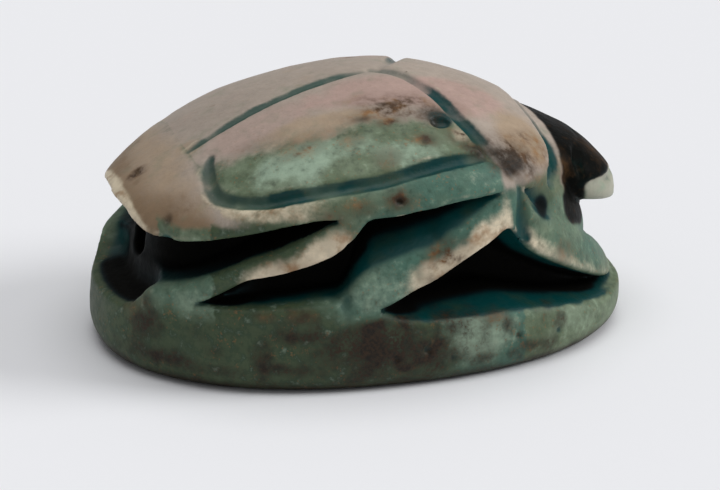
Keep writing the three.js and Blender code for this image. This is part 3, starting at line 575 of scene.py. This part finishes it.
# ------------------------------------------------------------------ nodes
class G:
    """a small helper to build shader nodes"""
    def __init__(self, mat):
        self.nt = mat.node_tree; self.nt.nodes.clear()

    def node(self, kind, **kw):
        n = self.nt.nodes.new(kind)
        for k, v in kw.items():
            setattr(n, k, v)
        return n

    def link(self, a, b):
        self.nt.links.new(a, b)

    def put(self, sock, v):
        if isinstance(v, (int, float, tuple, list)):
            sock.default_value = v
        else:
            self.link(v, sock)

    def attr(self, name):
        return self.node("ShaderNodeAttribute", attribute_name=name).outputs["Fac"]

    def math(self, op, a, b=0.0, clamp=False):
        n = self.node("ShaderNodeMath", operation=op, use_clamp=clamp)
        self.put(n.inputs[0], a); self.put(n.inputs[1], b)
        return n.outputs[0]

    def step(self, v, lo, hi, a=0.0, b=1.0):
        n = self.node("ShaderNodeMapRange", interpolation_type="SMOOTHSTEP")
        for k, q in (("Value", v), ("From Min", lo), ("From Max", hi), ("To Min", a), ("To Max", b)):
            self.put(n.inputs[k], q)
        return n.outputs["Result"]

    def noise(self, scale, detail=3.0, rough=0.55, at=(0.0, 0.0, 0.0), dist=0.0):
        s = self.node("ShaderNodeVectorMath", operation="ADD"); self.put(s.inputs[0], self.pos); s.inputs[1].default_value = at
        n = self.node("ShaderNodeTexNoise", noise_dimensions="3D")
        self.link(s.outputs[0], n.inputs["Vector"])
        n.inputs["Scale"].default_value = scale; n.inputs["Detail"].default_value = detail; n.inputs["Roughness"].default_value = rough
        n.inputs["Distortion"].default_value = dist
        return n.outputs["Fac"]

    def mix(self, f, a, b, mode="MIX"):
        n = self.node("ShaderNodeMix", data_type="RGBA", blend_type=mode, clamp_factor=True)
        self.put(n.inputs[0], f)
        for s, v in ((n.inputs[6], a), (n.inputs[7], b)):
            self.put(s, (*v, 1.0) if isinstance(v, tuple) and len(v) == 3 else v)
        return n.outputs[2]

    def blur(self, mask, by, lo=.35, hi=.65, k=.5):
        """a mask whose edge is broken up by a noise"""
        return self.step(self.math("ADD", mask, self.math("MULTIPLY", self.math("SUBTRACT", by, .5), k)), lo, hi)


def srgb(r, g, b):
    f = lambda c: c / 12.92 if c <= 0.04045 else ((c + 0.055) / 1.055) ** 2.4
    return tuple(f(v / 255) for v in (r, g, b))


# colours as sRGB. The darkest teal and the near-lightless colour are painted shade for the deep recesses; the dark
# grey-brown serves both the darkest dirt spots and the painted shade along the bottom edge
C = dict(
    taupe=(170, 157, 145), pink=(178, 152, 142), tan=(168, 148, 126), umber=(136, 114, 90),
    green=(112, 126, 102), mint=(142, 162, 141), sea=(74, 108, 94), olive=(80, 94, 68), dark=(44, 62, 46),
    teal=(0, 58, 58), grey=(62, 82, 72), recess_shade_teal=(0, 24, 28), recess_shade=(9, 9, 7), cream=(216, 202, 176), rust=(138, 100, 62), brown=(72, 52, 34), soot_and_shade=(30, 27, 22),
    head=(8, 9, 7), plate=(168, 167, 150),
)


def glaze_material():
    mat = bpy.data.materials.new("glazed_stone"); mat.use_nodes = True
    g = G(mat)
    tc = g.node("ShaderNodeTexCoord")
    sc = g.node("ShaderNodeVectorMath", operation="SCALE"); g.link(tc.outputs["Object"], sc.inputs[0]); sc.inputs["Scale"].default_value = 1000.0
    g.pos = sc.outputs[0]                       # millimetres
    A = {k: g.attr(k) for k in ("worn", "pink", "tan", "umber", "mint", "sea", "low", "pool_and_shade", "grey", "recess_shade", "cream", "dirt", "grime_and_shade", "head", "plate")}
    nb = g.noise(0.4, 4, at=(1.7, 3.1, 9.2)); nm = g.noise(1.3, 4, at=(7.3, 1.1, 4.2)); nf = g.noise(3.2, 4, .6, at=(3.1, 9.2, 6.1)); nx = g.noise(9.0, 3, at=(13.1, 2.2, 8.1))
    c = {k: srgb(*v) for k, v in C.items()}
    # kept glaze
    mm, ff, xx = g.step(nm, .3, .7), g.step(nf, .3, .7), g.step(nx, .3, .72)
    green = g.mix(g.math("MULTIPLY", mm, .75), c["green"], c["olive"])
    green = g.mix(g.blur(A["sea"], nm, .0, 1.0, .8), green, c["sea"])
    green = g.mix(g.blur(A["mint"], nf, .05, 1.0, .5), green, c["mint"])
    green = g.mix(g.blur(A["low"], nm, .1, 1.0, .8), green, g.mix(ff, c["olive"], c["dark"]))
    green = g.mix(g.step(g.math("ADD", nf, g.math("MULTIPLY", A["mint"], .1)), .55, .85, 0, .5), green, c["mint"])
    green = g.mix(g.step(nf, .45, .2, 0, .5), green, c["dark"])
    green = g.mix(g.step(g.math("ADD", nx, g.math("MULTIPLY", nm, .5)), .86, 1.0, 0, .5), green, c["rust"])
    # worn body
    body = g.mix(g.blur(A["pink"], nf, .1, 1.0, .3), c["taupe"], c["pink"])
    body = g.mix(g.blur(A["tan"], nf, .1, 1.0, .4), body, c["tan"])
    body = g.mix(g.blur(A["umber"], nf, .1, 1.0, .4), body, c["umber"])
    body = g.mix(g.step(nx, .5, .8, 0, .25), body, c["umber"])
    body = g.mix(g.step(nm, .5, .8, 0, .35), body, c["green"])
    col = g.mix(g.blur(A["worn"], nf, .05, .95, .6), green, body)
    # legs' worn edges
    col = g.mix(g.blur(A["cream"], nf, .05, .95, .6), col, g.mix(g.step(nm, .5, .72, 0, .8), c["cream"], c["rust"]))
    # lighter and darker from place to place
    tone = g.math("ADD", .74, g.math("ADD", g.math("MULTIPLY", g.step(nb, .25, .75), .22), g.math("MULTIPLY", ff, .26)))
    tone = g.math("ADD", tone, g.math("MULTIPLY", g.math("SUBTRACT", .95, tone), g.math("MULTIPLY", A["worn"], .6)))
    tint = g.node("ShaderNodeCombineColor"); [g.link(tone, tint.inputs[q]) for q in range(3)]
    col = g.mix(1.0, col, tint.outputs[0], "MULTIPLY")
    # head
    hc = g.mix(g.step(nf, .52, .8, 0, .45), c["head"], c["brown"])
    col = g.mix(g.blur(A["head"], nf, .2, .8, .3), col, hc)
    col = g.mix(g.blur(A["plate"], nf, .2, .8, .3), col, g.mix(g.step(nm, .45, .75), c["plate"], c["mint"]))
    # dirt
    dirt = g.math("MULTIPLY", A["dirt"], g.math("ADD", .35, g.math("MULTIPLY", ff, 1.3)), True)
    col = g.mix(dirt, col, g.mix(g.step(nm, .42, .75), c["brown"], c["rust"]))
    # pooled glaze, with painted shade in the hollows
    pool_and_shade = g.blur(A["pool_and_shade"], nf, .05, .9, .25)
    col = g.mix(pool_and_shade, col, g.mix(A["grey"], g.mix(g.step(nm, .4, .8, 0, .6), c["teal"], c["dark"]), c["grey"]))
    # the darkest dirt spots, and the painted shade along the bottom edge
    grime_and_shade = g.math("MULTIPLY", A["grime_and_shade"], g.math("ADD", .6, g.math("MULTIPLY", g.math("MAXIMUM", mm, xx), .8)), True)
    col = g.mix(grime_and_shade, col, g.mix(g.math("MULTIPLY", xx, .5), c["soot_and_shade"], c["brown"]))
    # painted shade in the deep recesses: dark teal, then the darkest colour
    col = g.mix(g.step(A["recess_shade"], .0, .6), col, c["recess_shade_teal"])
    col = g.mix(g.step(A["recess_shade"], .3, .95), col, c["recess_shade"])
    bs = g.node("ShaderNodeBsdfPrincipled")
    g.link(col, bs.inputs["Base Color"])
    rough = g.math("ADD", g.math("ADD", .36, g.math("MULTIPLY", nf, .3)), g.math("MULTIPLY", A["recess_shade"], .3))
    g.link(g.math("SUBTRACT", rough, g.math("MULTIPLY", pool_and_shade, .12)), bs.inputs["Roughness"])
    bs.inputs["IOR"].default_value = 1.45
    g.link(g.math("MULTIPLY", .24, g.math("SUBTRACT", 1.0, g.math("MULTIPLY", g.math("MAXIMUM", A["recess_shade"], A["head"]), .85))), bs.inputs["Specular IOR Level"])
    bump = g.node("ShaderNodeBump"); bump.inputs["Strength"].default_value = 0.3; bump.inputs["Distance"].default_value = 0.0001
    h = g.math("ADD", g.math("MULTIPLY", nf, .7), g.math("MULTIPLY", nx, .3))
    g.link(h, bump.inputs["Height"]); g.link(bump.outputs[0], bs.inputs["Normal"])
    o = g.node("ShaderNodeOutputMaterial"); g.link(bs.outputs[0], o.inputs[0])
    return mat


def to_mesh(name, P, Q):
    me = bpy.data.meshes.new(name)
    me.vertices.add(len(P)); me.vertices.foreach_set("co", (P * 0.001).astype(np.float32).ravel())
    me.loops.add(Q.size); me.loops.foreach_set("vertex_index", Q.astype(np.int32).ravel())
    me.polygons.add(len(Q)); me.polygons.foreach_set("loop_start", np.arange(0, Q.size, Q.shape[1], dtype=np.int32))
    me.update(calc_edges=True)
    return me


# ------------------------------------------------------------------ the amulet
STEP = 0.105
P, Q, _grid = build(STEP)
P = relax(P, Q, 2, .5)
P = project(P, 1, STEP)
P[:, 2] -= 0.04 * sstep(8.2, 8.95, P[:, 2])        # the crown stays just inside the solid's height
me = to_mesh("scarab_glazed", P, Q)
scarab = bpy.data.objects.new("scarab_glazed", me)
bpy.context.scene.collection.objects.link(scarab)
MOST = 192000
if len(Q) * 2 > MOST:
    dm = scarab.modifiers.new("fewer", "DECIMATE"); dm.ratio = MOST / (len(Q) * 2)
    dg = bpy.context.evaluated_depsgraph_get()
    me2 = bpy.data.meshes.new_from_object(scarab.evaluated_get(dg), depsgraph=dg)
    scarab.modifiers.clear(); scarab.data = me2; bpy.data.meshes.remove(me); me = me2; me.name = "scarab_glazed"
me.validate()
P = np.zeros(len(me.vertices) * 3, np.float32); me.vertices.foreach_get("co", P); P = P.reshape(-1, 3).astype(float) * 1000
N = grad(P, 0.03); N /= np.linalg.norm(N, axis=1)[:, None] + 1e-9
M = masks(P, N)
A = paint(P, N, M)
me.polygons.foreach_set("use_smooth", np.ones(len(me.polygons), bool))
for k, v in {**M, **A}.items():
    at = me.attributes.new(k, "FLOAT", "POINT"); at.data.foreach_set("value", np.ascontiguousarray(v, np.float32))
me.materials.append(glaze_material())
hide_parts("scarab")
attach(scarab, "root")

# ------------------------------------------------------------------ floor, light, camera
fm = bpy.data.materials.new("floor_paper"); fm.use_nodes = True
fb = fm.node_tree.nodes["Principled BSDF"]
fb.inputs["Base Color"].default_value = (0.86, 0.865, 0.89, 1); fb.inputs["Roughness"].default_value = 0.9
fb.inputs["Specular IOR Level"].default_value = 0.1
bm = bmesh.new(); bmesh.ops.create_grid(bm, x_segments=1, y_segments=1, size=2.0)
fme = bpy.data.meshes.new("floor"); bm.to_mesh(fme); bm.free()
floor = bpy.data.objects.new("floor", fme); bpy.context.scene.collection.objects.link(floor)
floor.location = (0, 0, -0.00002); fme.materials.append(fm)

W = bpy.data.worlds.new("studio"); bpy.context.scene.world = W; W.use_nodes = True
W.node_tree.nodes["Background"].inputs[0].default_value = (0.98, 0.985, 1.0, 1)
W.node_tree.nodes["Background"].inputs[1].default_value = 0.27


def sun(name, direction, power, angle, colour=(1, 1, 1)):
    l = bpy.data.lights.new(name, "SUN"); l.energy = power; l.angle = math.radians(angle); l.color = colour
    o = bpy.data.objects.new(name, l); bpy.context.scene.collection.objects.link(o)
    o.rotation_euler = Vector(direction).to_track_quat("Z", "Y").to_euler()
    return o


sun("light_over", (0.05, 0.05, 1.0), 1.42, 60)
sun("light_right", (0.97, -0.25, 0.62), 1.5, 28)

AZ, EL, DIST, PX = -16.0, 21.7, 0.150, 28.77
ar, er = math.radians(AZ), math.radians(EL)
away = Vector((math.sin(ar) * math.cos(er), -math.cos(ar) * math.cos(er), math.sin(er)))
cam = bpy.data.cameras.new("camera"); camera = bpy.data.objects.new("camera", cam)
bpy.context.scene.collection.objects.link(camera)
camera.location = away * DIST
camera.rotation_euler = (-away).to_track_quat("-Z", "Y").to_euler()
cam.sensor_width = 36; cam.lens = PX * DIST * 1000 / 720 * 36
cam.clip_start = 0.001; cam.clip_end = 10
cam.shift_x = (360 - 355.5) / 720; cam.shift_y = (316.5 - 245) / 720
bpy.context.scene.camera = camera
bpy.context.scene.view_settings.view_transform = "Standard"
bpy.context.scene.view_settings.look = "None"
